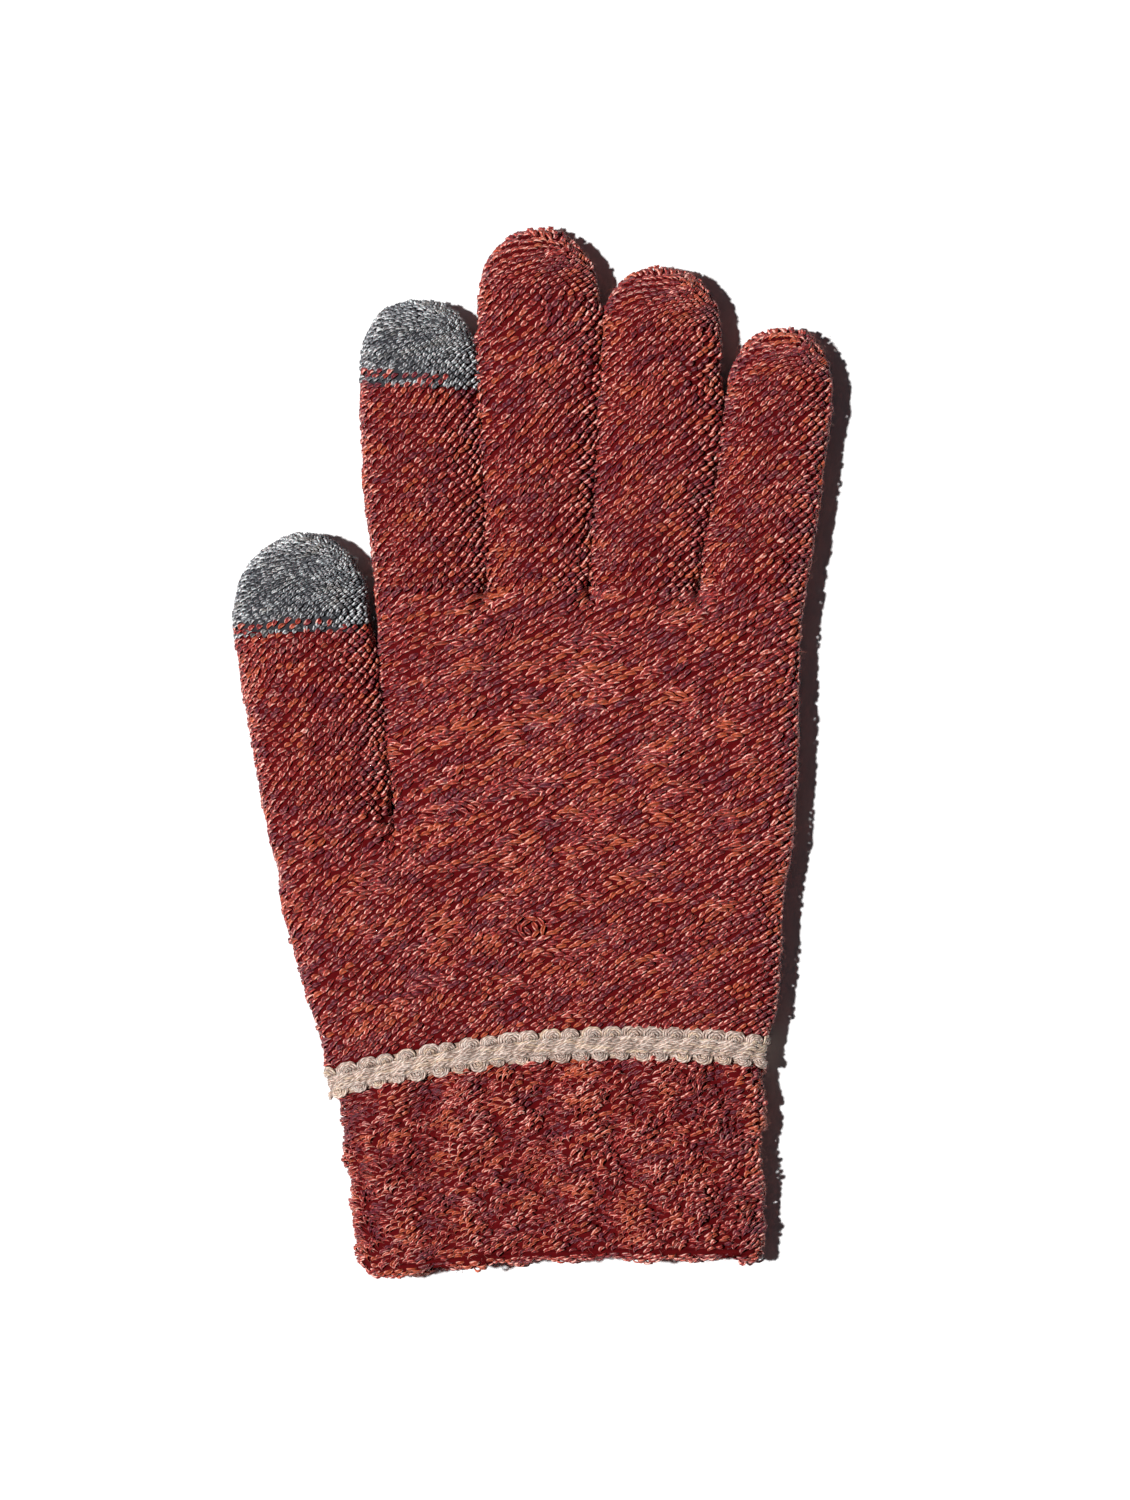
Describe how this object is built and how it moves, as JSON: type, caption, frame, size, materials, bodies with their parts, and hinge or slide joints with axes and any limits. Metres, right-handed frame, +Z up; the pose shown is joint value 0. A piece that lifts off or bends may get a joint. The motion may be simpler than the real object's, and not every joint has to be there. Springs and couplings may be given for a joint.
{
  "type": "knitted glove",
  "caption": "Knitted winter glove lying flat, palm up, with grey touch-screen thumb and index tips, a cream stripe and an elastic cuff; the digits and the wrist bend.",
  "frame": {"origin": "centre of the bounding box in plan, on the flat underside the glove lies on", "axes": "+Y from the cuff towards the fingertips, +X across the hand from the thumb side to the little finger side, +Z up out of the palm"},
  "size_m": [0.1324, 0.2312, 0.0151],
  "materials": {
    "red_yarn": "brick red heather spun yarn, matt and slightly fuzzy",
    "grey_yarn": "mid grey heather conductive yarn, matt",
    "cream_yarn": "soft beige cream multi-ply yarn, matt",
    "hem_thread": "dark red overlock thread",
    "elastic_thread": "covered elastic thread"
  },
  "bodies": {
    "cuff": {"cuff": "red_yarn", "hem_edging": "hem_thread", "cuff_elastic": "elastic_thread", "contrast_stripe": "cream_yarn", "wrist_section": "red_yarn"},
    "hand": {"five_finger_palm": "red_yarn", "four_finger_palm": "red_yarn", "thumb_root": "red_yarn", "index_root": "red_yarn", "middle_root": "red_yarn", "ring_root": "red_yarn", "little_root": "red_yarn"},
    "thumb_proximal": {"thumb_lower": "red_yarn"},
    "thumb_distal": {"thumb_upper": "red_yarn", "thumb_touch_tip": "grey_yarn", "thumb_closure": "grey_yarn"},
    "index_proximal": {"index_lower": "red_yarn"},
    "index_distal": {"index_upper": "red_yarn", "index_touch_tip": "grey_yarn", "index_closure": "grey_yarn"},
    "middle_proximal": {"middle_lower": "red_yarn"},
    "middle_distal": {"middle_upper": "red_yarn", "middle_closure": "red_yarn"},
    "ring_proximal": {"ring_lower": "red_yarn"},
    "ring_distal": {"ring_upper": "red_yarn", "ring_closure": "red_yarn"},
    "little_proximal": {"little_lower": "red_yarn"},
    "little_distal": {"little_upper": "red_yarn", "little_closure": "red_yarn"}
  },
  "joints": [
    {"name": "wrist_bend", "type": "hinge", "parent": "cuff", "child": "hand", "pos_m": [0.00223, -0.05613, 0.0125], "axis": [1, 0, 0], "range_deg": [0, 70]},
    {"name": "thumb_base_bend", "type": "hinge", "parent": "hand", "child": "thumb_proximal", "pos_m": [-0.04661, -0.00314, 0.0135], "axis": [1, 0, 0], "range_deg": [0, 55]},
    {"name": "thumb_middle_bend", "type": "hinge", "parent": "thumb_proximal", "child": "thumb_distal", "pos_m": [-0.04939, 0.01537, 0.0135], "axis": [1, 0, 0], "range_deg": [0, 80]},
    {"name": "index_base_bend", "type": "hinge", "parent": "hand", "child": "index_proximal", "pos_m": [-0.02322, 0.04487, 0.0125], "axis": [1, 0, 0], "range_deg": [0, 70]},
    {"name": "index_middle_bend", "type": "hinge", "parent": "index_proximal", "child": "index_distal", "pos_m": [-0.02474, 0.06287, 0.0125], "axis": [1, 0, 0], "range_deg": [0, 85]},
    {"name": "middle_base_bend", "type": "hinge", "parent": "hand", "child": "middle_proximal", "pos_m": [0.00113, 0.04487, 0.0125], "axis": [1, 0, 0], "range_deg": [0, 90]},
    {"name": "middle_middle_bend", "type": "hinge", "parent": "middle_proximal", "child": "middle_distal", "pos_m": [0.00122, 0.06587, 0.0125], "axis": [1, 0, 0], "range_deg": [0, 100]},
    {"name": "ring_base_bend", "type": "hinge", "parent": "hand", "child": "ring_proximal", "pos_m": [0.02473, 0.04487, 0.0125], "axis": [1, 0, 0], "range_deg": [0, 90]},
    {"name": "ring_middle_bend", "type": "hinge", "parent": "ring_proximal", "child": "ring_distal", "pos_m": [0.02718, 0.06487, 0.0125], "axis": [1, 0, 0], "range_deg": [0, 100]},
    {"name": "little_base_bend", "type": "hinge", "parent": "hand", "child": "little_proximal", "pos_m": [0.04941, 0.04387, 0.0117], "axis": [1, 0, 0], "range_deg": [0, 90]},
    {"name": "little_middle_bend", "type": "hinge", "parent": "little_proximal", "child": "little_distal", "pos_m": [0.05171, 0.05887, 0.0117], "axis": [1, 0, 0], "range_deg": [0, 100]}
  ]
}
